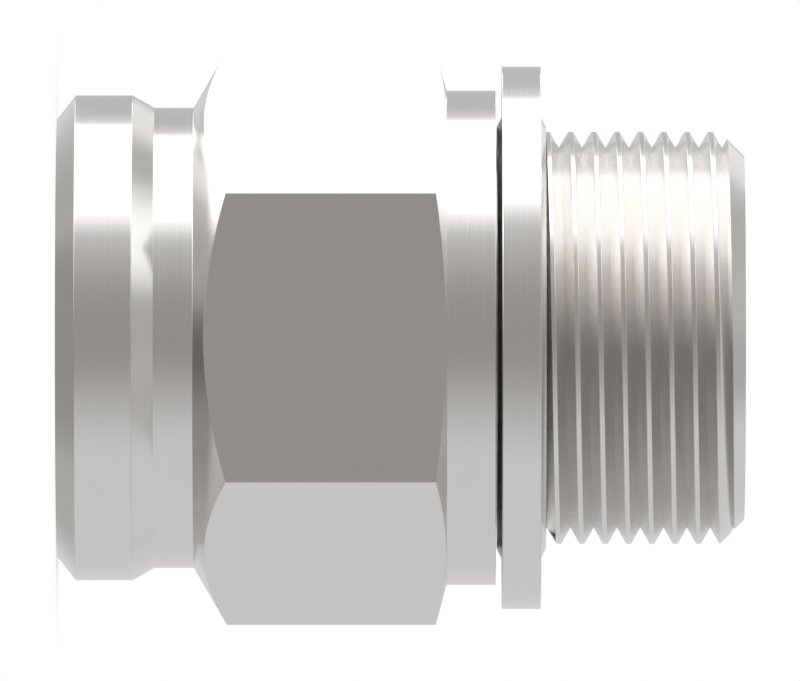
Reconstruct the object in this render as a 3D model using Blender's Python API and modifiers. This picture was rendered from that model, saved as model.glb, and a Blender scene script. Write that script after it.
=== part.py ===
"""Straight hydraulic adapter: a plug-in socket, a spanner hexagon and a threaded stud turned from one bar.

A bonded seal, a steel ring with a lip moulded into its bore, sits on the stud against the shoulder.
The adapter stands on its socket end. +Z is its axis, from the socket to the stud, and the origin is the
centre of the socket's end face. Two corners of the hexagon point along +X and -X. Everything is in metres.
"""

import math

import bmesh
import bpy
from mathutils import Matrix

# The bar's hexagon, from which the whole body is turned
HEX_ACROSS_FLATS = 0.0320
HEX_LENGTH = 0.01625
HEX_CORNER_CLEARANCE = 0.0004
HEX_SOCKET_CHAMFER_ANGLE = math.radians(30.0)
HEX_STUD_CHAMFER_ANGLE = math.radians(15.0)

# Socket end, outside
COLLAR_INSET = 0.0004
COLLAR_HEIGHT = 0.0008
COLLAR_LENGTH = 0.00487
NOSE_CHAMFER_LENGTH = 0.0012
NOSE_CHAMFER_DEPTH = 0.00155
NECK_TAPER_ANGLE = math.radians(30.0)
SOCKET_LENGTH = 0.0088

# Socket end, inside
SOCKET_WALL = 0.0033
ENTRY_DEPTH = 0.0078
MOUTH_CHAMFER = 0.0010
LOCK_GROOVE_START = 0.0026
LOCK_GROOVE_WIDTH = 0.0019
LOCK_GROOVE_DEPTH = 0.0010
ENTRY_STEP = 0.0012
ENTRY_STEP_ANGLE = math.radians(30.0)
SEAL_BORE_LENGTH = 0.0072
SEAT_LEDGE = 0.0023
SEAT_ANGLE = math.radians(45.0)
FLOW_BORE_CHAMFER = 0.0005

# Shoulder and stud
SHOULDER_INSET = 0.0001
SHOULDER_LENGTH = 0.00315
STUD_LENGTH = 0.0160
STUD_CHAMFER = 0.00155
THREAD_DIAMETER = 0.0265
THREAD_PITCH = 0.0015
THREAD_CREST_WIDTH = 0.0003
THREAD_FLANK_ANGLE = math.radians(30.0)
THREAD_EXIT_ANGLE = math.radians(162.0)
UNDERCUT_PITCHES = 1.25
UNDERCUT_RELIEF = 0.00012

# Bonded seal
RING_WIDTH = 0.003175
RING_THICKNESS = 0.0025
RING_EDGE_BREAK = 0.0001
LIP_WIDTH = 0.00075
LIP_HEIGHT = 0.00036
LIP_EDGE_BREAK = 0.00005
LIP_TO_THREAD_CLEARANCE = 0.000275
LIP_TO_SHOULDER_CLEARANCE = 0.00005
BOND_CLEARANCE = 0.00003

# The sides of every turned piece and the thread's steps in a turn: a multiple of six, so that each flat of the
# hexagon meets the same run of them
SIDES = 60

# Sizes that follow from the ones above
FLAT_DISTANCE = HEX_ACROSS_FLATS / 2
COLLAR_RADIUS = FLAT_DISTANCE - COLLAR_INSET
NECK_RADIUS = COLLAR_RADIUS - COLLAR_HEIGHT
ENTRY_RADIUS = NECK_RADIUS - SOCKET_WALL
SEAL_BORE_RADIUS = ENTRY_RADIUS - ENTRY_STEP
FLOW_BORE_RADIUS = SEAL_BORE_RADIUS - SEAT_LEDGE
SHOULDER_RADIUS = FLAT_DISTANCE - SHOULDER_INSET
THREAD_RADIUS = THREAD_DIAMETER / 2
HEX_CORNER_RADIUS = FLAT_DISTANCE / math.cos(math.radians(30.0))
LATHE_RADIUS = HEX_CORNER_RADIUS + HEX_CORNER_CLEARANCE
THREAD_DEPTH = (THREAD_PITCH - THREAD_CREST_WIDTH) / 2 / math.tan(THREAD_FLANK_ANGLE)
UNDERCUT_RADIUS = THREAD_RADIUS - THREAD_DEPTH - UNDERCUT_RELIEF
UNDERCUT_LENGTH = UNDERCUT_PITCHES * THREAD_PITCH
HEX_TOP = SOCKET_LENGTH + HEX_LENGTH
SHOULDER_FACE = HEX_TOP + SHOULDER_LENGTH
STUD_END = SHOULDER_FACE + STUD_LENGTH
LIP_RADIUS = THREAD_RADIUS + LIP_TO_THREAD_CLEARANCE
RING_BORE_RADIUS = LIP_RADIUS + LIP_WIDTH
RING_BOTTOM = SHOULDER_FACE + LIP_TO_SHOULDER_CLEARANCE + LIP_HEIGHT
RING_TOP = RING_BOTTOM + RING_THICKNESS
RING_RADIUS = RING_BORE_RADIUS + RING_WIDTH


def clear_scene():
    for obj in list(bpy.data.objects):
        bpy.data.objects.remove(obj, do_unlink=True)


def new_collection(name):
    collection = bpy.data.collections.new(name)
    bpy.context.scene.collection.children.link(collection)
    return collection


def new_material(name, colour, roughness, metallic):
    material = bpy.data.materials.new(name)
    material.use_nodes = True
    shader = material.node_tree.nodes["Principled BSDF"]
    shader.inputs["Base Color"].default_value = (*colour, 1.0)
    shader.inputs["Roughness"].default_value = roughness
    shader.inputs["Metallic"].default_value = metallic
    material.diffuse_color = (*colour, 1.0)
    return material


def new_object(name, bm, collection):
    mesh = bpy.data.meshes.new(name)
    bm.to_mesh(mesh)
    bm.free()
    obj = bpy.data.objects.new(name, mesh)
    collection.objects.link(obj)
    return obj


def turned(name, profile, collection):
    """A ring turned about Z from a closed outline of (radius, height) points, outer side first, top to bottom."""
    bm = bmesh.new()
    points = [bm.verts.new((radius, 0.0, height)) for radius, height in profile]
    for start, end in zip(points, points[1:] + points[:1]):
        bm.edges.new((start, end))
    obj = new_object(name, bm, collection)
    screw = obj.modifiers.new("Turn", "SCREW")
    screw.axis = "Z"
    screw.angle = 2 * math.pi
    screw.steps = SIDES
    screw.render_steps = SIDES
    screw.use_merge_vertices = True
    screw.merge_threshold = 0.000001
    return obj


def cut_with(obj, cutter, operation):
    """Adds a Boolean, and turns its cutter into a hidden guide."""
    boolean = obj.modifiers.new(cutter.name, "BOOLEAN")
    boolean.operation = operation
    boolean.solver = "EXACT"
    boolean.object = cutter
    cutter.hide_render = True
    cutter.display_type = "WIRE"


def finish(obj, material):
    """Applies the modifiers, shades the round faces smooth and the edges between them sharp."""
    graph = bpy.context.evaluated_depsgraph_get()
    mesh = bpy.data.meshes.new_from_object(obj.evaluated_get(graph))
    obj.modifiers.clear()
    obj.data = mesh
    mesh.name = obj.name
    mesh.shade_smooth()
    mesh.set_sharp_from_angle(angle=math.radians(25.0))
    mesh.materials.clear()
    mesh.materials.append(material)


def body_profile():
    """The body's outline as it leaves the lathe, before the thread: the outside from the stud's end down to the
    socket's face, then the inside back up. In the hexagon's stretch it runs just outside the bar's corners, so
    only its two chamfer cones cut the bar there."""
    taper_top = COLLAR_LENGTH + COLLAR_HEIGHT / math.tan(NECK_TAPER_ANGLE)
    hex_low = SOCKET_LENGTH + (LATHE_RADIUS - NECK_RADIUS) * math.tan(HEX_SOCKET_CHAMFER_ANGLE)
    hex_high = HEX_TOP - (LATHE_RADIUS - SHOULDER_RADIUS) * math.tan(HEX_STUD_CHAMFER_ANGLE)
    undercut_top = SHOULDER_FACE + UNDERCUT_LENGTH
    outside = [
        (THREAD_RADIUS - STUD_CHAMFER, STUD_END),
        (THREAD_RADIUS, STUD_END - STUD_CHAMFER),
        (THREAD_RADIUS, undercut_top + THREAD_RADIUS - UNDERCUT_RADIUS),
        (UNDERCUT_RADIUS, undercut_top),
        (UNDERCUT_RADIUS, SHOULDER_FACE),
        (SHOULDER_RADIUS, SHOULDER_FACE),
        (SHOULDER_RADIUS, HEX_TOP),
        (LATHE_RADIUS, hex_high),
        (LATHE_RADIUS, hex_low),
        (NECK_RADIUS, SOCKET_LENGTH),
        (NECK_RADIUS, taper_top),
        (COLLAR_RADIUS, COLLAR_LENGTH),
        (COLLAR_RADIUS, NOSE_CHAMFER_LENGTH),
        (COLLAR_RADIUS - NOSE_CHAMFER_DEPTH, 0.0),
    ]
    groove_radius = ENTRY_RADIUS + LOCK_GROOVE_DEPTH
    groove_end = LOCK_GROOVE_START + LOCK_GROOVE_WIDTH
    seal_bore_start = ENTRY_DEPTH + ENTRY_STEP / math.tan(ENTRY_STEP_ANGLE)
    seat_start = seal_bore_start + SEAL_BORE_LENGTH
    inside = [
        (ENTRY_RADIUS + MOUTH_CHAMFER, 0.0),
        (ENTRY_RADIUS, MOUTH_CHAMFER),
        (ENTRY_RADIUS, LOCK_GROOVE_START),
        (groove_radius, LOCK_GROOVE_START),
        (groove_radius, groove_end),
        (ENTRY_RADIUS, groove_end + LOCK_GROOVE_DEPTH),
        (ENTRY_RADIUS, ENTRY_DEPTH),
        (SEAL_BORE_RADIUS, seal_bore_start),
        (SEAL_BORE_RADIUS, seat_start),
        (FLOW_BORE_RADIUS, seat_start + SEAT_LEDGE / math.tan(SEAT_ANGLE)),
        (FLOW_BORE_RADIUS, STUD_END - FLOW_BORE_CHAMFER),
        (FLOW_BORE_RADIUS + FLOW_BORE_CHAMFER, STUD_END),
    ]
    return outside + inside


def hex_bar(collection):
    """The six-sided bar that the body is turned from, a little longer than the body at both ends."""
    spare = HEX_LENGTH / 4
    bm = bmesh.new()
    bmesh.ops.create_cone(
        bm,
        cap_ends=True,
        segments=6,
        radius1=HEX_CORNER_RADIUS,
        radius2=HEX_CORNER_RADIUS,
        depth=STUD_END + 2 * spare,
    )
    # A cone's first corner points along +Y, and the bar's along +X
    bmesh.ops.rotate(bm, verts=bm.verts, matrix=Matrix.Rotation(math.radians(30.0), 3, "Z"))
    bmesh.ops.translate(bm, verts=bm.verts, vec=(0.0, 0.0, STUD_END / 2))
    return new_object("hex_bar", bm, collection)


def thread_tool(collection):
    """A right-hand helical V, swept from the middle of the undercut to one turn past the stud's end. Its base
    stands just outside the thread, by less than would make two turns of it meet."""
    overshoot = THREAD_CREST_WIDTH / 2
    half_width = (THREAD_DEPTH + overshoot) * math.tan(THREAD_FLANK_ANGLE)
    steps_to_exit = round((STUD_END - SHOULDER_FACE - UNDERCUT_LENGTH / 2) / THREAD_PITCH * SIDES)
    start_height = STUD_END - THREAD_PITCH * steps_to_exit / SIDES
    start_angle = THREAD_EXIT_ANGLE - 2 * math.pi * steps_to_exit / SIDES
    steps = steps_to_exit + SIDES
    bm = bmesh.new()
    section = [
        bm.verts.new((THREAD_RADIUS - THREAD_DEPTH, 0.0, start_height)),
        bm.verts.new((THREAD_RADIUS + overshoot, 0.0, start_height - half_width)),
        bm.verts.new((THREAD_RADIUS + overshoot, 0.0, start_height + half_width)),
    ]
    bm.faces.new(section)
    bmesh.ops.rotate(bm, verts=bm.verts, matrix=Matrix.Rotation(start_angle, 3, "Z"))
    bmesh.ops.spin(
        bm,
        geom=bm.verts[:] + bm.edges[:] + bm.faces[:],
        cent=(0.0, 0.0, 0.0),
        axis=(0.0, 0.0, 1.0),
        dvec=(0.0, 0.0, THREAD_PITCH / SIDES),
        angle=2 * math.pi * steps / SIDES,
        steps=steps,
    )
    bmesh.ops.recalc_face_normals(bm, faces=bm.faces)
    return new_object("thread_tool", bm, collection)


def make_body(parts, cutters, material):
    body = turned("adapter_body", body_profile(), parts)
    # Half a side round from the thread's sections, so that no edge of the turned faces crosses one
    body.data.transform(Matrix.Rotation(THREAD_EXIT_ANGLE + math.pi / SIDES, 4, "Z"))
    cut_with(body, hex_bar(cutters), "INTERSECT")
    cut_with(body, thread_tool(cutters), "DIFFERENCE")
    finish(body, material)


def make_seal_ring(parts, material):
    profile = [
        (RING_BORE_RADIUS, RING_TOP),
        (RING_RADIUS - RING_EDGE_BREAK, RING_TOP),
        (RING_RADIUS, RING_TOP - RING_EDGE_BREAK),
        (RING_RADIUS, RING_BOTTOM + RING_EDGE_BREAK),
        (RING_RADIUS - RING_EDGE_BREAK, RING_BOTTOM),
        (RING_BORE_RADIUS, RING_BOTTOM),
    ]
    finish(turned("seal_ring", profile, parts), material)


def make_seal_lip(parts, material):
    """The lip fills the ring's bore and stands proud of both its faces, highest where it closes on the stud."""
    outer = RING_BORE_RADIUS - BOND_CLEARANCE
    ridge = LIP_RADIUS + LIP_EDGE_BREAK
    profile = [
        (outer, RING_TOP),
        (outer, RING_BOTTOM),
        (ridge, RING_BOTTOM - LIP_HEIGHT),
        (LIP_RADIUS, RING_BOTTOM - LIP_HEIGHT + LIP_EDGE_BREAK),
        (LIP_RADIUS, RING_TOP + LIP_HEIGHT - LIP_EDGE_BREAK),
        (ridge, RING_TOP + LIP_HEIGHT),
    ]
    finish(turned("seal_lip", profile, parts), material)


def main():
    clear_scene()
    parts = new_collection("straight_adapter")
    cutters = new_collection("cutters")
    plated_steel = new_material("plated_steel", (0.62, 0.62, 0.60), 0.25, 1.0)
    ring_steel = new_material("ring_steel", (0.64, 0.64, 0.63), 0.28, 1.0)
    lip_elastomer = new_material("lip_elastomer", (0.55, 0.55, 0.54), 0.45, 0.0)
    make_body(parts, cutters, plated_steel)
    make_seal_ring(parts, ring_steel)
    make_seal_lip(parts, lip_elastomer)


main()
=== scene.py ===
"""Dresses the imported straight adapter: a turned and threaded body, the steel ring of its bonded seal and
the elastomer lip moulded into that ring, on a pale floor in a soft studio. The axis is +Z, and sizes are in
metres."""

import math
from collections import namedtuple

import bmesh
import bpy
from bpy.props import FloatProperty, FloatVectorProperty, IntProperty, PointerProperty
from bpy.types import Operator, Panel, PropertyGroup
from mathutils import Matrix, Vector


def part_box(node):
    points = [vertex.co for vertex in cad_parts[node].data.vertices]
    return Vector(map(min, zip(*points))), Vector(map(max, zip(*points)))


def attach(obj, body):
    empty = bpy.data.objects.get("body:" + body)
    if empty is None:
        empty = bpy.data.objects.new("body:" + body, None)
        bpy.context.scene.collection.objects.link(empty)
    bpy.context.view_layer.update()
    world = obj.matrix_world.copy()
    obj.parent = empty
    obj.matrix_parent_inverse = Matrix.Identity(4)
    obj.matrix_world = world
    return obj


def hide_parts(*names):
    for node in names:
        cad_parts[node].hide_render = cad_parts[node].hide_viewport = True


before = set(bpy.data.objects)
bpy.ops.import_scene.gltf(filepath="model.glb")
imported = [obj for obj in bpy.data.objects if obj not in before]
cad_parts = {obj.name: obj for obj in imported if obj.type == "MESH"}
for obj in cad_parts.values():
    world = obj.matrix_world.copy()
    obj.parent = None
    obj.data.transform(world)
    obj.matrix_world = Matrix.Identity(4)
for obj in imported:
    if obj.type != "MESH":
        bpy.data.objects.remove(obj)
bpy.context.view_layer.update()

bl_info = {
    "name": "Straight Adapter",
    "version": (1, 0, 0),
    "blender": (4, 5, 0),
    "location": "3D View > Sidebar > Adapter",
    "description": "Turns, threads and finishes a straight hydraulic adapter with its bonded seal",
    "category": "Object",
}

BODY_NODE, RING_NODE, LIP_NODE = "adapter_body", "seal_ring", "seal_lip"
BODY_LOW, BODY_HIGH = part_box(BODY_NODE)
RING_LOW, RING_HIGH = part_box(RING_NODE)
LIP_LOW, LIP_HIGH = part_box(LIP_NODE)

# Edges that turn by more than this stay sharp
SHARP_ANGLE = math.radians(4.0)
# Points closer than this are one
MERGE_DISTANCE = 1e-6
# Faces across each rounded edge
ROUND_STEPS = 3
# From one corner of a hexagon to the next, and to the middle of a flat
HEX_STEP, HEX_HALF_STEP = math.radians(60.0), math.radians(30.0)
# A point of the undercut above the shoulder's face, where the rounding at its foot has ended
UNDERCUT_POINT = 0.0006
# Radius on the ridges of the seal's lip
LIP_EDGE_BREAK = 0.00005
FLOOR_SEGMENTS = 96


# ---- Properties


def length(name, description, default):
    return FloatProperty(
        name=name, description=description, default=default, min=0.0, precision=6, unit="LENGTH"
    )


def angle(name, description, degrees):
    return FloatProperty(
        name=name, description=description, default=math.radians(degrees), unit="ROTATION"
    )


def colour(name, description, default):
    return FloatVectorProperty(
        name=name, description=description, default=default, min=0.0, max=1.0, subtype="COLOR"
    )


def share(name, description, default):
    return FloatProperty(
        name=name, description=description, default=default, min=0.0, max=1.0, subtype="FACTOR"
    )


def brightness(name, description, default):
    return FloatProperty(name=name, description=description, default=default, min=0.0, max=4.0)


class AdapterBodySizes(PropertyGroup):
    stud_end: length("Stud end", "Height of the stud's end face", BODY_HIGH.z)
    flat_distance: length("Flat distance", "From the axis to a flat of the hexagon", 0.0160)
    hex_bottom: length("Hexagon bottom", "Height where the hexagon's socket side starts", 0.0088)
    hex_top: length("Hexagon top", "Height where the hexagon ends at the shoulder", 0.02505)
    hex_socket_chamfer: angle("Socket chamfer", "Slope of the hexagon's chamfer, socket side", 30.0)
    hex_stud_chamfer: angle("Stud chamfer", "Slope of the hexagon's chamfer, stud side", 15.0)
    collar_radius: length("Collar radius", "Radius of the collar at the socket's end", 0.0156)
    collar_top: length("Collar top", "Height where the collar's taper starts", 0.00487)
    neck_radius: length("Neck radius", "Radius of the neck below the hexagon", 0.0148)
    neck_bottom: length("Neck bottom", "Height where the taper meets the neck", 0.006256)
    nose_length: length("Nose chamfer length", "Height of the nose chamfer", 0.0012)
    nose_depth: length("Nose chamfer depth", "How far the nose chamfer goes in", 0.00155)
    entry_radius: length("Entry radius", "Radius of the socket's wide bore", 0.0115)
    entry_depth: length("Entry depth", "Depth of the socket's wide bore", 0.0078)
    mouth_chamfer: length("Mouth chamfer", "Lead-in at the socket's mouth", 0.0010)
    groove_start: length("Lock groove start", "Height of the locking groove's near side", 0.0026)
    groove_width: length("Lock groove width", "Width of the locking groove", 0.0019)
    groove_depth: length("Lock groove depth", "Depth of the locking groove", 0.0010)
    seal_bore_radius: length("Seal bore radius", "Radius of the bore for the plug's seal", 0.0103)
    seal_bore_start: length("Seal bore start", "Height where the seal bore starts", 0.009878)
    seal_bore_length: length("Seal bore length", "Length of the seal bore", 0.0072)
    flow_radius: length("Flow radius", "Radius of the bore through the stud", 0.0080)
    flow_chamfer: length("Flow chamfer", "Chamfer where the bore leaves the stud", 0.0005)
    shoulder_radius: length("Shoulder radius", "Radius of the shoulder", 0.0159)
    shoulder_face: length("Shoulder face", "Height of the face that the seal closes on", 0.0282)
    edge_break: length("Edge break", "Radius on the turned edges", 0.00003)
    corner_break: length("Corner break", "Radius on the hexagon's corners", 0.00002)


class AdapterThreadSizes(PropertyGroup):
    radius: length("Thread radius", "Outside radius of the thread", 0.01325)
    pitch: length("Pitch", "Distance from one crest to the next", 0.0015)
    crest_width: length("Crest width", "Width of the flat on a crest", 0.0003)
    flank_angle: angle("Flank angle", "Angle of a flank from a plane across the axis", 30.0)
    exit_angle: angle("Exit angle", "Where the groove leaves through the stud's end", 162.0)
    chamfer: length("Stud chamfer", "Chamfer at the stud's end", 0.00155)
    undercut_top: length("Undercut top", "Height where the thread starts", 0.030075)
    undercut_radius: length("Undercut radius", "Radius of the relief next to the shoulder", 0.01209)


class AdapterSealSizes(PropertyGroup):
    ring_radius: length("Ring radius", "Outside radius of the steel ring", RING_HIGH.y)
    ring_bore_radius: length("Ring bore radius", "Radius of the steel ring's bore", 0.014275)
    ring_bottom: length("Ring bottom", "Height of the ring's lower face", RING_LOW.z)
    ring_top: length("Ring top", "Height of the ring's upper face", RING_HIGH.z)
    ring_edge_break: length("Ring edge break", "Radius on the ring's outer edges", 0.00005)
    lip_radius: length("Lip radius", "Radius of the lip's bore", 0.013525)
    lip_bottom: length("Lip bottom", "Height of the lip's lower ridge", LIP_LOW.z)
    lip_top: length("Lip top", "Height of the lip's upper ridge", LIP_HIGH.z)
    bond_clearance: length("Bond clearance", "Gap between ring and lip", 0.00003)


class AdapterFinishes(PropertyGroup):
    turned_colour: colour("Turned plating", "Plated steel as it leaves the lathe", (0.77, 0.755, 0.742))
    flat_colour: colour("Drawn flats", "Plated steel of the hexagon's flats", (0.76, 0.755, 0.745))
    ring_colour: colour("Ring plating", "Plated steel of the seal's ring", (0.778, 0.765, 0.753))
    lip_colour: colour("Lip elastomer", "Silver-grey elastomer of the sealing lip", (0.76, 0.75, 0.735))
    turned_roughness: share("Turned roughness", "Roughness of the turned faces", 0.15)
    flat_roughness: share("Flat roughness", "Roughness of the drawn flats", 0.17)
    ring_roughness: share("Ring roughness", "Roughness of the steel ring", 0.16)
    lip_roughness: share("Lip roughness", "Roughness of the elastomer", 0.15)
    sides: IntProperty(name="Sides", description="Sides of a full turn", default=180, min=24, max=360)


class AdapterStudio(PropertyGroup):
    room_level: brightness("Room level", "How bright the room looks in the metal", 0.72)
    softbox_level: brightness("Softbox level", "How bright the softbox looks in the metal", 2.5)
    plain_level: brightness("Plain level", "The even light on whatever doesn't mirror the studio", 1.0)
    floor_colour: colour("Floor", "The pale floor", (0.95, 0.95, 0.95))
    floor_radius: length("Floor radius", "Radius of the floor", 0.04)
    camera_lens: FloatProperty(
        name="Lens", description="Focal length", default=1450.0, min=50.0, max=1470.0, unit="CAMERA"
    )
    view_width: length("View width", "Width that the picture shows at the axis", 0.05148)
    view_height: length("View centre height", "Height of the picture's centre", 0.02206)
    view_side: length("View centre side", "How far the picture's centre is off the axis", 0.00017)


# ---- Shapes


def rounded(outline):
    """An outline of (radius, height, rounding) corners, with an arc for each corner that has a rounding."""
    points = []
    for index, (x, y, rounding) in enumerate(outline):
        if not rounding:
            points.append((x, y))
            continue
        before, after = outline[index - 1], outline[(index + 1) % len(outline)]
        ux, uy = before[0] - x, before[1] - y
        vx, vy = after[0] - x, after[1] - y
        u_length, v_length = math.hypot(ux, uy), math.hypot(vx, vy)
        ux, uy, vx, vy = ux / u_length, uy / u_length, vx / v_length, vy / v_length
        half = math.acos(max(-1.0, min(1.0, ux * vx + uy * vy))) / 2
        tangent = rounding / math.tan(half)
        mx, my = ux + vx, uy + vy
        m_length = math.hypot(mx, my)
        cx = x + mx / m_length * rounding / math.sin(half)
        cy = y + my / m_length * rounding / math.sin(half)
        start = math.atan2(y + uy * tangent - cy, x + ux * tangent - cx)
        end = math.atan2(y + vy * tangent - cy, x + vx * tangent - cx)
        sweep = (end - start + math.pi) % (2 * math.pi) - math.pi
        for step in range(ROUND_STEPS + 1):
            turn = start + sweep * step / ROUND_STEPS
            points.append((cx + rounding * math.cos(turn), cy + rounding * math.sin(turn)))
    return points


def lofted(name, angles, outlines, slot_of=None):
    """A solid of revolution whose closed outline may change from one angle to the next. Every outline has
    the same number of points, and the last one, a full turn on, lies on the first."""
    bm = bmesh.new()
    rings = []
    for turn, outline in zip(angles, outlines):
        cos, sin = math.cos(turn), math.sin(turn)
        rings.append([bm.verts.new((radius * cos, radius * sin, height)) for radius, height in outline])
    count = len(rings[0])
    for ring, following in zip(rings, rings[1:]):
        for index in range(count):
            after = (index + 1) % count
            face = bm.faces.new((ring[index], ring[after], following[after], following[index]))
            face.smooth = True
            if slot_of:
                face.material_index = slot_of(index)
    bmesh.ops.remove_doubles(bm, verts=bm.verts, dist=MERGE_DISTANCE)
    bmesh.ops.dissolve_degenerate(bm, dist=MERGE_DISTANCE / 10, edges=bm.edges)
    bmesh.ops.recalc_face_normals(bm, faces=bm.faces)
    mesh = bpy.data.meshes.new(name)
    bm.to_mesh(mesh)
    bm.free()
    mesh.set_sharp_from_angle(angle=SHARP_ANGLE)
    obj = bpy.data.objects.new(name, mesh)
    bpy.context.scene.collection.objects.link(obj)
    return obj


def even_angles(sides):
    return [2 * math.pi * step / sides for step in range(sides + 1)]


def turned(name, outline, sides):
    angles = even_angles(sides)
    return lofted(name, angles, [outline] * len(angles))


def hex_radius(turn, body):
    """The hexagon's radius at an angle: its corners, on +X and every 60 degrees, have a small rounding."""
    corner = body.flat_distance / math.cos(HEX_HALF_STEP)
    off = abs((turn + HEX_HALF_STEP) % HEX_STEP - HEX_HALF_STEP)
    centre = corner - body.corner_break / math.sin(HEX_STEP)
    reach = body.corner_break ** 2 - (centre * math.sin(off)) ** 2
    if reach > 0.0 and off < hex_corner_turn(body):
        return centre * math.cos(off) + math.sqrt(reach)
    return body.flat_distance / math.cos(HEX_HALF_STEP - off)


def hex_corner_turn(body):
    """How far round from a corner of the hexagon its rounding ends."""
    tangent = body.corner_break * math.tan(HEX_HALF_STEP)
    corner = body.flat_distance / math.cos(HEX_HALF_STEP)
    return math.atan2(tangent * math.sin(HEX_STEP), corner - tangent * math.cos(HEX_STEP))


def body_angles(sides, body):
    """Even steps round, with a few more over each rounded corner of the hexagon."""
    digits, corners = 9, 6
    turns = {round(turn, digits) for turn in even_angles(sides)}
    edge = hex_corner_turn(body)
    for corner in range(corners + 1):
        for part in (-1.0, -0.5, 0.0, 0.5, 1.0):
            turn = corner * HEX_STEP + part * edge
            if 0.0 <= turn <= 2 * math.pi:
                turns.add(round(turn, digits))
    return sorted(turns)


class Thread:
    """The helical thread as a radius over height and angle, cut to the stud's outline."""

    # How far the break at the edge of a crest reaches along the crest, and half as far along the flank
    CREST_BREAK = 0.00002
    # Points on a flank, as shares of its width from the root
    FLANK_POINTS = (0.35, 0.7)
    # Laps of the helix past each end of the stud, which are then cut to it
    SPARE_LAPS = 3
    # Halvings in the search for a crossing, and the height that counts as none
    HALVINGS = 30
    NOTHING = 1e-9

    def __init__(self, thread, body):
        self.pitch = thread.pitch
        self.radius = thread.radius
        self.slope = math.tan(thread.flank_angle)
        self.half_groove = (thread.pitch - thread.crest_width) / 2
        self.root = thread.radius - self.half_groove / self.slope
        self.exit = thread.exit_angle
        self.low = thread.undercut_top
        self.low_radius = thread.undercut_radius
        self.end = body.stud_end
        self.chamfer = thread.chamfer
        self.chamfer_start = self.end - thread.chamfer
        self.lead_in_end = self.low + self.radius - self.low_radius
        # Above this height the chamfer lies inside the root, so nothing of the thread is left
        self.high = self.end - (self.root - (self.radius - self.chamfer))
        self.break_start = self.half_groove - self.CREST_BREAK / 2
        self.break_end = self.half_groove + self.CREST_BREAK
        flank = [self.half_groove * part for part in self.FLANK_POINTS]
        half = [*flank, self.break_start, self.break_end, self.pitch / 2]
        self.steps = [0.0, *half, *[self.pitch - step for step in reversed(half[:-1])]]

    def groove_height(self, turn):
        """The height of the groove's root at an angle, in the lap that leaves through the stud's end."""
        return self.end + self.pitch * (turn - self.exit) / (2 * math.pi)

    def cut_radius(self, height, turn):
        """The thread's own radius, as if the stud went on for ever."""
        off = (height - self.groove_height(turn)) % self.pitch
        off = min(off, self.pitch - off)
        if off <= self.break_start:
            return self.root + off / self.slope
        if off < self.break_end:
            start = self.root + self.break_start / self.slope
            along = off - self.break_start
            return start + (self.radius - start) * along / (self.break_end - self.break_start)
        return self.radius

    def stud_radius(self, height):
        """The stud's outline before threading."""
        lead_in = self.low_radius + height - self.low
        return min(self.radius, lead_in, self.radius - (height - self.chamfer_start))

    def over(self, height, turn):
        """How far the thread stands out of the stud's outline."""
        return self.cut_radius(height, turn) - self.stud_radius(height)

    def crossing(self, low, high, turn):
        """Where the thread meets the stud's outline between two heights."""
        low_sign = self.over(low, turn) > 0.0
        for _ in range(self.HALVINGS):
            middle = (low + high) / 2
            if (self.over(middle, turn) > 0.0) == low_sign:
                low = middle
            else:
                high = middle
        return (low + high) / 2

    def heights(self, turn):
        """The heights of the groove's corners at an angle, the same number of them at every angle."""
        start = self.groove_height(turn)
        below = math.ceil((self.end - self.low) / self.pitch) + self.SPARE_LAPS
        laps = [start + self.pitch * (lap - below) for lap in range(below + self.SPARE_LAPS)]
        raw = [lap + step for lap in laps for step in self.steps]
        return [min(max(height, self.low), self.high) for height in raw]

    def outline(self, turn):
        """(radius, height) points from the undercut to the end, with a point wherever two surfaces meet."""
        heights = self.heights(turn)
        fitted = list(heights)
        for index in range(len(heights) - 1):
            low, high = heights[index], heights[index + 1]
            if high - low < self.NOTHING:
                continue
            for kink, moved in ((self.chamfer_start, index + 1), (self.lead_in_end, index)):
                if low < kink < high and self.over(kink, turn) > -self.NOTHING:
                    fitted[moved] = kink
            low_over, high_over = self.over(low, turn), self.over(high, turn)
            if low_over < -self.NOTHING and high_over > self.NOTHING:
                fitted[index + 1] = self.crossing(low, high, turn)
            elif low_over > self.NOTHING and high_over < -self.NOTHING:
                fitted[index] = self.crossing(low, high, turn)
        radii = [min(self.cut_radius(height, turn), self.stud_radius(height)) for height in fitted]
        return list(zip(radii, fitted))


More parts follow.
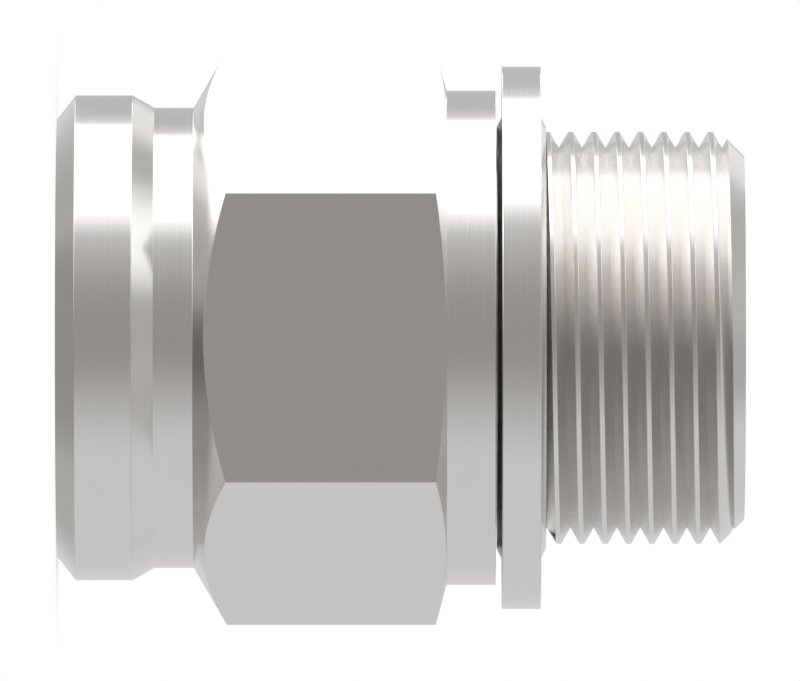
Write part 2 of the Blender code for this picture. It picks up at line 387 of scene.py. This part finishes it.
def body_outline(turn, body, thread, helix):
    """The body's closed outline at one angle, from the stud's end down the outside and back up the bore."""
    radius = hex_radius(turn, body)
    edge = body.edge_break
    fine, wide, taper_edge = edge / 2, edge * 1.5, edge * 4
    high = body.hex_top - (radius - body.shoulder_radius) * math.tan(body.hex_stud_chamfer)
    low = body.hex_bottom + (radius - body.neck_radius) * math.tan(body.hex_socket_chamfer)
    groove_radius = body.entry_radius + body.groove_depth
    groove_end = body.groove_start + body.groove_width
    seat = body.seal_bore_start + body.seal_bore_length
    stud = [(thread.radius - thread.chamfer, body.stud_end), *reversed(helix.outline(turn))]
    shoulder = [
        (thread.undercut_radius, body.shoulder_face + UNDERCUT_POINT, 0.0),
        (thread.undercut_radius, body.shoulder_face, edge),
        (body.shoulder_radius, body.shoulder_face, edge),
        (body.shoulder_radius, body.hex_top, fine),
        (radius, high, fine),
    ]
    socket = [
        (radius, low, edge),
        (body.neck_radius, body.hex_bottom, wide),
        (body.neck_radius, body.neck_bottom, edge),
        (body.collar_radius, body.collar_top, taper_edge),
        (body.collar_radius, body.nose_length, wide),
        (body.collar_radius - body.nose_depth, 0.0, edge),
        (body.entry_radius + body.mouth_chamfer, 0.0, edge),
        (body.entry_radius, body.mouth_chamfer, edge),
        (body.entry_radius, body.groove_start, edge),
        (groove_radius, body.groove_start, edge),
        (groove_radius, groove_end, edge),
        (body.entry_radius, groove_end + body.groove_depth, edge),
        (body.entry_radius, body.entry_depth, edge),
        (body.seal_bore_radius, body.seal_bore_start, edge),
        (body.seal_bore_radius, seat, edge),
        (body.flow_radius, seat + body.seal_bore_radius - body.flow_radius, edge),
        (body.flow_radius, body.stud_end - body.flow_chamfer, edge),
        (body.flow_radius + body.flow_chamfer, body.stud_end, 0.0),
    ]
    return stud, rounded(shoulder + socket)


def flats_index(stud_points):
    """Which stretch of the body's outline is the hexagon's flats. It starts at the last point of the
    shoulder's four rounded corners, which follow the stud's points and one plain point."""
    rounded_corners = 4
    return stud_points + rounded_corners * (ROUND_STEPS + 1)


# ---- Finishes

# Turning marks and the lines of the drawn bar: the noise's scale and detail, the two tones, and the bump's
# height and strength. The marks also vary the roughness.
MARK_SCALE, MARK_DETAIL, MARK_TONES = 7000.0, 3.0, (0.965, 1.035)
MARK_HEIGHT, MARK_STRENGTH, MARK_ROUGHNESS = 0.0000025, 0.4, 0.08
LINE_SCALE, LINE_DETAIL, LINE_TONES = 6000.0, 2.0, (0.97, 1.03)
LINE_HEIGHT, LINE_STRENGTH = 0.0000025, 0.35
# How much slower the drawn lines change along the bar than across it
LINE_STRETCH = 0.02

# Clouds in the plating: the noise's detail, its values at no cloud and at full cloud, the tone of a cloud,
# how much the clouds vary the roughness, the noise's scale, and how much of that tone a full cloud has
CLOUD_DETAIL, CLOUD_RANGE, CLOUD_TONE, CLOUD_ROUGHNESS = 3.0, (0.35, 0.75), 0.96, 0.05
TURNED_CLOUD_SCALE, TURNED_CLOUD_SHARE = 260.0, 0.25
DRAWN_CLOUD_SCALE, DRAWN_CLOUD_SHARE = 220.0, 0.2

# Thread groove: the depths between which its finish sets in, and the most that is still the groove
GROOVE_START, GROOVE_MOST = (0.00001, 0.00006), 0.0015
GROOVE_ROUGHNESS = 0.05
# Painted light: where the seal covers the thread, the groove's plating is painted brighter against the shade
# in that recess, and that ends between these heights
PAINTED_LIGHT_HEIGHTS, PAINTED_LIGHT_TONE = (0.0315, 0.0319), 1.28
# The flanks' hollow: the reach of the bump that leans their shading outwards, the depths between which its
# strength falls from full, and the least that it falls to
HOLLOW_HEIGHT, HOLLOW_DEPTHS, HOLLOW_LEAST = 0.0908, (-0.0006, 0.0016), 0.4

# Grain of the elastomer
GRAIN_SCALE, GRAIN_DETAIL, GRAIN_TONES = 5000.0, 2.0, (0.92, 1.06)
GRAIN_HEIGHT, GRAIN_STRENGTH, GRAIN_ROUGHNESS = 0.000003, 0.3, 0.08
ELASTOMER_METALLIC = 0.85

# The floor turns from matt to plain white between these radii, from this share of white
WHITE_RADII, WHITE_LEAST = (0.0135, 0.0215), 0.6

# Object coordinates, and the distance from the axis
Spot = namedtuple("Spot", "point x y z radius")


def link(tree, value, socket):
    """Sets a socket from a number, a colour or another node's output."""
    if isinstance(value, bpy.types.NodeSocket):
        tree.links.new(value, socket)
    else:
        socket.default_value = value


def maths(tree, operation, *values):
    node = tree.nodes.new("ShaderNodeMath")
    node.operation = operation
    for value, socket in zip(values, node.inputs):
        link(tree, value, socket)
    return node.outputs[0]


def fade(tree, value, low, high, at_low=0.0, at_high=1.0):
    """A smooth step from one value to another."""
    node = tree.nodes.new("ShaderNodeMapRange")
    node.interpolation_type = "SMOOTHSTEP"
    for number, socket in zip((value, low, high, at_low, at_high), node.inputs):
        link(tree, number, socket)
    return node.outputs[0]


def mixed(tree, factor, first, second):
    node = tree.nodes.new("ShaderNodeMix")
    node.data_type = "RGBA"
    link(tree, factor, node.inputs["Factor"])
    link(tree, first, node.inputs["A"])
    link(tree, second, node.inputs["B"])
    return node.outputs["Result"]


def mixed_shader(tree, factor, first, second):
    node = tree.nodes.new("ShaderNodeMixShader")
    for value, socket in zip((factor, first, second), node.inputs):
        link(tree, value, socket)
    return node.outputs[0]


def noise(tree, point, scale, detail):
    node = tree.nodes.new("ShaderNodeTexNoise")
    node.inputs["Scale"].default_value = scale
    node.inputs["Detail"].default_value = detail
    tree.links.new(point, node.inputs["Vector"])
    return node.outputs["Fac"]


def streaks(tree, x, y, z, scale, detail):
    """Noise stretched by the coordinates that it gets."""
    joined = tree.nodes.new("ShaderNodeCombineXYZ")
    for value, socket in zip((x, y, z), joined.inputs):
        link(tree, value, socket)
    return noise(tree, joined.outputs[0], scale, detail)


def new_finish(name, roughness, metallic):
    material = bpy.data.materials.new(name)
    material.use_nodes = True
    shader = material.node_tree.nodes["Principled BSDF"]
    shader.inputs["Roughness"].default_value = roughness
    shader.inputs["Metallic"].default_value = metallic
    return material, material.node_tree, shader


def place(tree):
    coordinates = tree.nodes.new("ShaderNodeTexCoord")
    split = tree.nodes.new("ShaderNodeSeparateXYZ")
    tree.links.new(coordinates.outputs["Object"], split.inputs[0])
    x, y, z = split.outputs
    squares = maths(tree, "ADD", maths(tree, "MULTIPLY", x, x), maths(tree, "MULTIPLY", y, y))
    return Spot(coordinates.outputs["Object"], x, y, z, maths(tree, "SQRT", squares))


def tone(base, factor):
    return (base[0] * factor, base[1] * factor, base[2] * factor, 1.0)


def mirrored_rays(tree, rays):
    """1 for the rays by which shiny pieces see, and 0 for the others."""
    return maths(tree, "MAXIMUM", rays.outputs["Is Glossy Ray"], rays.outputs["Is Transmission Ray"])


def relief(tree, shader, height, distance, strength, under=None):
    """A bump on the shader, over another one where that is given."""
    bump = tree.nodes.new("ShaderNodeBump")
    bump.inputs["Distance"].default_value = distance
    link(tree, strength, bump.inputs["Strength"])
    tree.links.new(height, bump.inputs["Height"])
    if under:
        tree.links.new(under, bump.inputs["Normal"])
    tree.links.new(bump.outputs[0], shader.inputs["Normal"])
    return bump.outputs[0]


def clouded(tree, point, base, paint, roughness, scale, most):
    """Faint clouds in the plating: the paint with them on, and the roughness that they vary."""
    cloud = noise(tree, point, scale, CLOUD_DETAIL)
    amount = fade(tree, cloud, *CLOUD_RANGE, 0.0, most)
    paint = mixed(tree, amount, paint, tone(base, CLOUD_TONE))
    gloss = maths(tree, "MULTIPLY_ADD", cloud, CLOUD_ROUGHNESS, roughness - CLOUD_ROUGHNESS / 2)
    return paint, gloss


def groove_mask(tree, spot, stud):
    """How deep a point lies under the outline of a stud, and 1 where that is in the thread's groove."""
    bottom, chamfer_start, top, crest = stud
    outline = maths(tree, "MINIMUM", crest, maths(tree, "SUBTRACT", crest + chamfer_start, spot.z))
    depth = maths(tree, "SUBTRACT", outline, spot.radius)
    above = maths(tree, "GREATER_THAN", spot.z, bottom)
    inside = maths(tree, "MULTIPLY", above, maths(tree, "LESS_THAN", spot.z, top))
    inside = maths(tree, "MULTIPLY", inside, maths(tree, "LESS_THAN", depth, GROOVE_MOST))
    return depth, maths(tree, "MULTIPLY", inside, fade(tree, depth, *GROOVE_START))


def turned_steel(name, base, roughness, stud=None):
    """Plated steel with fine marks running round the axis and a faint cloudiness. The flanks of a stud's
    thread are a little duller and slightly hollow, and where the seal covers them they are painted brighter,
    as painted light against the shade there. The stud is given by the heights of its bottom, its chamfer and
    its top, and by the radius of its crests."""
    material, tree, shader = new_finish(name, roughness, 1.0)
    spot = place(tree)
    marks = streaks(tree, spot.radius, 0.0, spot.z, MARK_SCALE, MARK_DETAIL)
    paint = mixed(tree, marks, *(tone(base, factor) for factor in MARK_TONES))
    paint, gloss = clouded(
        tree, spot.point, base, paint, roughness, TURNED_CLOUD_SCALE, TURNED_CLOUD_SHARE
    )
    gloss = maths(tree, "SUBTRACT", gloss, MARK_ROUGHNESS / 2)
    gloss = maths(tree, "MULTIPLY_ADD", marks, MARK_ROUGHNESS, gloss)
    under = relief(tree, shader, marks, MARK_HEIGHT, MARK_STRENGTH)
    if stud:
        depth, inside = groove_mask(tree, spot, stud)
        gloss = maths(tree, "MULTIPLY_ADD", inside, GROOVE_ROUGHNESS, gloss)
        # Painted light: the groove is painted brighter where the seal covers it, against the shade in that
        # recess
        painted_light = maths(tree, "MULTIPLY", inside, fade(tree, spot.z, *PAINTED_LIGHT_HEIGHTS, 1.0, 0.0))
        paint = mixed(tree, painted_light, paint, tone(base, PAINTED_LIGHT_TONE))
        hollow = fade(tree, depth, *HOLLOW_DEPTHS, 1.0, HOLLOW_LEAST)
        relief(tree, shader, spot.radius, HOLLOW_HEIGHT, maths(tree, "MULTIPLY", inside, hollow), under)
    link(tree, paint, shader.inputs["Base Color"])
    link(tree, gloss, shader.inputs["Roughness"])
    return material


def drawn_steel(name, base, roughness):
    """Plated steel of the bar's flats, with faint drawing lines along the axis."""
    material, tree, shader = new_finish(name, roughness, 1.0)
    spot = place(tree)
    along = maths(tree, "MULTIPLY", spot.z, LINE_STRETCH)
    lines = streaks(tree, spot.x, spot.y, along, LINE_SCALE, LINE_DETAIL)
    paint = mixed(tree, lines, *(tone(base, factor) for factor in LINE_TONES))
    paint, gloss = clouded(
        tree, spot.point, base, paint, roughness, DRAWN_CLOUD_SCALE, DRAWN_CLOUD_SHARE
    )
    link(tree, paint, shader.inputs["Base Color"])
    link(tree, gloss, shader.inputs["Roughness"])
    relief(tree, shader, lines, LINE_HEIGHT, LINE_STRENGTH)
    return material


def moulded_elastomer(name, base, roughness):
    """Silver-grey moulded elastomer, satin and finely grained."""
    material, tree, shader = new_finish(name, roughness, ELASTOMER_METALLIC)
    grain = noise(tree, place(tree).point, GRAIN_SCALE, GRAIN_DETAIL)
    paint = mixed(tree, grain, *(tone(base, factor) for factor in GRAIN_TONES))
    link(tree, paint, shader.inputs["Base Color"])
    gloss = maths(tree, "MULTIPLY_ADD", grain, GRAIN_ROUGHNESS, roughness - GRAIN_ROUGHNESS / 2)
    link(tree, gloss, shader.inputs["Roughness"])
    relief(tree, shader, grain, GRAIN_HEIGHT, GRAIN_STRENGTH)
    return material


# ---- Studio

# What the metal reflects, as soft-edged panels round the part. A panel has the turn from the front (-Y)
# towards -X at its middle, its half width and its edge's softness in degrees; then the same three for its
# height, as the upward share of a direction; and its brightness, or None for the softbox level, and its
# colour. Each covers the ones before it.
STUDIO_PANELS = (
    ("front", 6.0, 6.0, 60.0, 0.0, 0.65, 0.5, 0.345, (1.045, 1.0, 0.955)),
    ("upper band", -25.0, 15.0, 105.0, 0.30, 0.1, 0.1, 0.33, (1.04, 1.0, 0.97)),
    ("lower band", -25.0, 15.0, 105.0, -0.42, 0.08, 0.24, 0.33, (1.04, 1.0, 0.97)),
    ("upper dusk", -112.0, 8.0, 18.0, 0.30, 0.1, 0.1, 0.56, (1.03, 1.0, 0.98)),
    ("lower dusk", -130.0, 14.0, 28.0, -0.34, 0.1, 0.14, 0.56, (1.03, 1.0, 0.98)),
    ("low room", 0.0, 180.0, 1.0, -1.0, 0.0, 0.8, 0.33, (1.03, 1.0, 0.96)),
    ("low back", -148.0, 15.0, 30.0, -0.68, 0.1, 0.15, 0.50, (1.02, 1.0, 0.98)),
    ("low sill", 70.0, 20.0, 50.0, -0.75, 0.12, 0.12, 0.56, (1.02, 1.0, 0.98)),
    ("low front", -12.0, 4.0, 42.0, -1.0, 0.3, 0.2, 0.20, (1.03, 1.0, 0.96)),
    ("high side", -45.0, 5.0, 35.0, 0.95, 0.1, 0.15, 0.50, (1.02, 1.0, 0.98)),
    ("high corner", 118.0, 12.0, 16.0, 0.76, 0.2, 0.12, 0.53, (1.02, 1.0, 0.98)),
    ("ceiling", 0.0, 180.0, 1.0, 1.0, 0.02, 0.1, 0.50, (1.01, 1.0, 0.99)),
    ("upper shine", 70.0, 5.0, 78.0, 0.30, 0.1, 0.1, 1.66, (1.03, 0.99, 0.98)),
    ("lower shine", 70.0, 5.0, 78.0, -0.42, 0.08, 0.24, 2.75, (1.03, 0.99, 0.98)),
    ("upper glow", 80.0, 2.0, 38.0, 0.30, 0.1, 0.1, 3.3, (1.0, 0.99, 0.99)),
    ("lower glow", 93.0, 15.0, 46.0, -0.42, 0.08, 0.24, 4.2, (1.0, 0.99, 0.99)),
    ("low veil", 112.0, 25.0, 14.0, -0.68, 0.16, 0.1, 0.6, (1.02, 1.0, 0.98)),
    ("low wing", 114.0, 2.0, 28.0, -0.62, 0.08, 0.2, 1.2, (1.0, 1.0, 0.98)),
    ("upper turn", 126.0, 8.0, 12.0, 0.27, 0.08, 0.08, 1.5, (1.0, 1.0, 0.99)),
    ("upper shade", 25.0, 45.0, 30.0, 0.56, 0.04, 0.18, 0.53, (1.03, 1.0, 0.97)),
    ("rim", 155.0, 18.0, 12.0, 0.38, 0.12, 0.14, 0.93, (1.01, 1.0, 0.99)),
    ("back", 157.0, 20.0, 10.0, 0.0, 0.06, 0.12, 0.55, (1.02, 1.01, 1.0)),
    ("upper strip", 140.0, 8.0, 10.0, 0.13, 0.03, 0.04, 3.0, (1.0, 1.0, 1.0)),
    ("lower strip", 140.0, 8.0, 10.0, -0.13, 0.03, 0.04, 3.0, (1.0, 1.0, 1.0)),
    ("wing", 68.0, 6.0, 40.0, 0.80, 0.05, 0.2, 1.3, (1.0, 1.0, 0.98)),
    ("softbox skirt", 86.5, 6.5, 33.0, 0.0, 0.35, 0.15, None, (1.0, 1.0, 0.99)),
    ("softbox", 101.25, 15.25, 9.0, 0.0, 0.35, 0.15, None, (1.0, 1.0, 0.99)),
)


def build_world(studio):
    """The studio for the shiny pieces, an even light for the matt ones and white behind them all."""
    world = bpy.data.worlds.new("studio")
    bpy.context.scene.world = world
    world.use_nodes = True
    world.cycles.sampling_method = "NONE"
    tree = world.node_tree
    tree.nodes.clear()
    coordinates = tree.nodes.new("ShaderNodeTexCoord")
    split = tree.nodes.new("ShaderNodeSeparateXYZ")
    tree.links.new(coordinates.outputs["Generated"], split.inputs[0])
    x, y, z = split.outputs
    turn = maths(tree, "ARCTAN2", maths(tree, "MULTIPLY", x, -1.0), maths(tree, "MULTIPLY", y, -1.0))
    seen = tone((1.0, 1.0, 1.0), studio.room_level)
    for name, middle, half, soft, height, half_height, soft_height, level, tint in STUDIO_PANELS:
        middle, half, soft = math.radians(middle), math.radians(half), math.radians(soft)
        off = maths(tree, "WRAP", maths(tree, "SUBTRACT", turn, middle), math.pi, -math.pi)
        across = fade(tree, maths(tree, "ABSOLUTE", off), half, half + soft, 1.0, 0.0)
        lift = maths(tree, "ABSOLUTE", maths(tree, "SUBTRACT", z, height))
        upward = fade(tree, lift, half_height, half_height + soft_height, 1.0, 0.0)
        cover = maths(tree, "MULTIPLY", across, upward)
        seen = mixed(tree, cover, seen, tone(tint, studio.softbox_level if level is None else level))
        seen.node.label = name
    rays = tree.nodes.new("ShaderNodeLightPath")
    plain = tone((1.0, 1.0, 1.0), studio.plain_level)
    shown = mixed(tree, mirrored_rays(tree, rays), plain, seen)
    shown = mixed(tree, rays.outputs["Is Camera Ray"], shown, (1.0, 1.0, 1.0, 1.0))
    background = tree.nodes.new("ShaderNodeBackground")
    output = tree.nodes.new("ShaderNodeOutputWorld")
    tree.links.new(shown, background.inputs["Color"])
    tree.links.new(background.outputs[0], output.inputs["Surface"])


def floor_finish(studio):
    """A pale matt floor, which keeps the part's shadow near it and turns plain white further out. The metal
    looks through it into the studio."""
    material = bpy.data.materials.new("pale_floor")
    material.use_nodes = True
    tree = material.node_tree
    tree.nodes.clear()
    rays = tree.nodes.new("ShaderNodeLightPath")
    white = fade(tree, place(tree).radius, *WHITE_RADII, WHITE_LEAST, 1.0)
    white = maths(tree, "MULTIPLY", rays.outputs["Is Camera Ray"], white)
    matt = tree.nodes.new("ShaderNodeBsdfDiffuse")
    matt.inputs["Color"].default_value = (*studio.floor_colour, 1.0)
    glow = tree.nodes.new("ShaderNodeEmission")
    through = tree.nodes.new("ShaderNodeBsdfTransparent")
    output = tree.nodes.new("ShaderNodeOutputMaterial")
    shown = mixed_shader(tree, white, matt.outputs[0], glow.outputs[0])
    shown = mixed_shader(tree, mirrored_rays(tree, rays), shown, through.outputs[0])
    tree.links.new(shown, output.inputs["Surface"])
    return material


def build_floor(studio):
    bm = bmesh.new()
    bmesh.ops.create_circle(
        bm, cap_ends=True, segments=FLOOR_SEGMENTS, radius=studio.floor_radius
    )
    mesh = bpy.data.meshes.new("floor")
    bm.to_mesh(mesh)
    bm.free()
    mesh.materials.append(floor_finish(studio))
    floor = bpy.data.objects.new("floor", mesh)
    bpy.context.scene.collection.objects.link(floor)


def build_camera(studio):
    """Square to the side, rolled so that the stud points to the picture's right."""
    camera = bpy.data.cameras.new("camera")
    camera.lens = studio.camera_lens
    distance = studio.view_width * camera.lens / camera.sensor_width
    nearest, furthest = 0.01, 4
    camera.clip_start = distance * nearest
    camera.clip_end = distance * furthest
    obj = bpy.data.objects.new("camera", camera)
    bpy.context.scene.collection.objects.link(obj)
    right, up, back = (0.0, 0.0, 1.0), (-1.0, 0.0, 0.0), (0.0, -1.0, 0.0)
    frame_matrix = Matrix((right, up, back)).transposed().to_4x4()
    frame_matrix.translation = (studio.view_side, -distance, studio.view_height)
    obj.matrix_world = frame_matrix
    bpy.context.scene.camera = obj


# ---- Operators


class AdapterTurnBody(Operator):
    """Turn the body from hexagon bar and cut its thread"""

    bl_idname = "adapter.turn_body"
    bl_label = "Turn the body"

    def execute(self, context):
        body, thread = context.scene.adapter_body, context.scene.adapter_thread
        finishes = context.scene.adapter_finishes
        helix = Thread(thread, body)
        angles = body_angles(finishes.sides, body)
        outlines = []
        for turn in angles:
            stud_outline, lower_outline = body_outline(turn, body, thread, helix)
            outlines.append(stud_outline + lower_outline)
        # The flats alone have the second material
        flats = flats_index(len(stud_outline))
        obj = lofted("turned_body", angles, outlines, lambda index: 1 if index == flats else 0)
        stud = (body.shoulder_face, body.stud_end - thread.chamfer, body.stud_end, thread.radius)
        obj.data.materials.append(
            turned_steel("turned_plating", finishes.turned_colour, finishes.turned_roughness, stud)
        )
        obj.data.materials.append(
            drawn_steel("drawn_plating", finishes.flat_colour, finishes.flat_roughness)
        )
        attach(obj, "root")
        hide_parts(BODY_NODE)
        return {"FINISHED"}


class AdapterMakeRing(Operator):
    """Make the bonded seal's steel ring"""

    bl_idname = "adapter.make_ring"
    bl_label = "Make the seal's ring"

    def execute(self, context):
        seal, finishes = context.scene.adapter_seal, context.scene.adapter_finishes
        edge = seal.ring_edge_break
        outline = [
            (seal.ring_bore_radius, seal.ring_top, 0.0),
            (seal.ring_radius, seal.ring_top, edge),
            (seal.ring_radius, seal.ring_bottom, edge),
            (seal.ring_bore_radius, seal.ring_bottom, 0.0),
        ]
        obj = turned("faced_ring", rounded(outline), finishes.sides)
        obj.data.materials.append(
            turned_steel("ring_plating", finishes.ring_colour, finishes.ring_roughness)
        )
        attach(obj, "root")
        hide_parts(RING_NODE)
        return {"FINISHED"}


class AdapterMouldLip(Operator):
    """Mould the sealing lip into the ring's bore"""

    bl_idname = "adapter.mould_lip"
    bl_label = "Mould the seal's lip"

    def execute(self, context):
        seal, finishes = context.scene.adapter_seal, context.scene.adapter_finishes
        outer = seal.ring_bore_radius - seal.bond_clearance
        outline = [
            (outer, seal.ring_top, 0.0),
            (outer, seal.ring_bottom, 0.0),
            (seal.lip_radius, seal.lip_bottom, LIP_EDGE_BREAK),
            (seal.lip_radius, seal.lip_top, LIP_EDGE_BREAK),
        ]
        obj = turned("moulded_lip", rounded(outline), finishes.sides)
        obj.data.materials.append(
            moulded_elastomer("silver_elastomer", finishes.lip_colour, finishes.lip_roughness)
        )
        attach(obj, "root")
        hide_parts(LIP_NODE)
        return {"FINISHED"}


class AdapterSetStage(Operator):
    """Set the floor, the studio's light and the camera"""

    bl_idname = "adapter.set_stage"
    bl_label = "Set the stage"

    def execute(self, context):
        studio = context.scene.adapter_studio
        build_world(studio)
        build_floor(studio)
        build_camera(studio)
        context.scene.view_settings.view_transform = "Standard"
        return {"FINISHED"}


class AdapterPanel(Panel):
    """Lists the adapter's steps and sizes"""

    bl_idname = "ADAPTER_PT_steps"
    bl_label = "Straight Adapter"
    bl_space_type = "VIEW_3D"
    bl_region_type = "UI"
    bl_category = "Adapter"

    def draw(self, context):
        layout = self.layout
        for operator in STEPS:
            layout.operator(operator.bl_idname)
        for title, group in GROUPS.items():
            box = layout.box()
            box.label(text=title.removeprefix("adapter_").capitalize())
            values = getattr(context.scene, title)
            for name in group.__annotations__:
                box.prop(values, name)


STEPS = (AdapterTurnBody, AdapterMakeRing, AdapterMouldLip, AdapterSetStage)
GROUPS = {
    "adapter_body": AdapterBodySizes,
    "adapter_thread": AdapterThreadSizes,
    "adapter_seal": AdapterSealSizes,
    "adapter_finishes": AdapterFinishes,
    "adapter_studio": AdapterStudio,
}


def register():
    for group in GROUPS.values():
        bpy.utils.register_class(group)
    for operator in STEPS:
        bpy.utils.register_class(operator)
    bpy.utils.register_class(AdapterPanel)
    for title, group in GROUPS.items():
        setattr(bpy.types.Scene, title, PointerProperty(type=group))


def unregister():
    for title in GROUPS:
        delattr(bpy.types.Scene, title)
    bpy.utils.unregister_class(AdapterPanel)
    for operator in reversed(STEPS):
        bpy.utils.unregister_class(operator)
    for group in reversed(list(GROUPS.values())):
        bpy.utils.unregister_class(group)


def main():
    register()
    bpy.ops.adapter.turn_body()
    bpy.ops.adapter.make_ring()
    bpy.ops.adapter.mould_lip()
    bpy.ops.adapter.set_stage()
    bpy.context.view_layer.update()


if __name__ == "__main__":
    main()
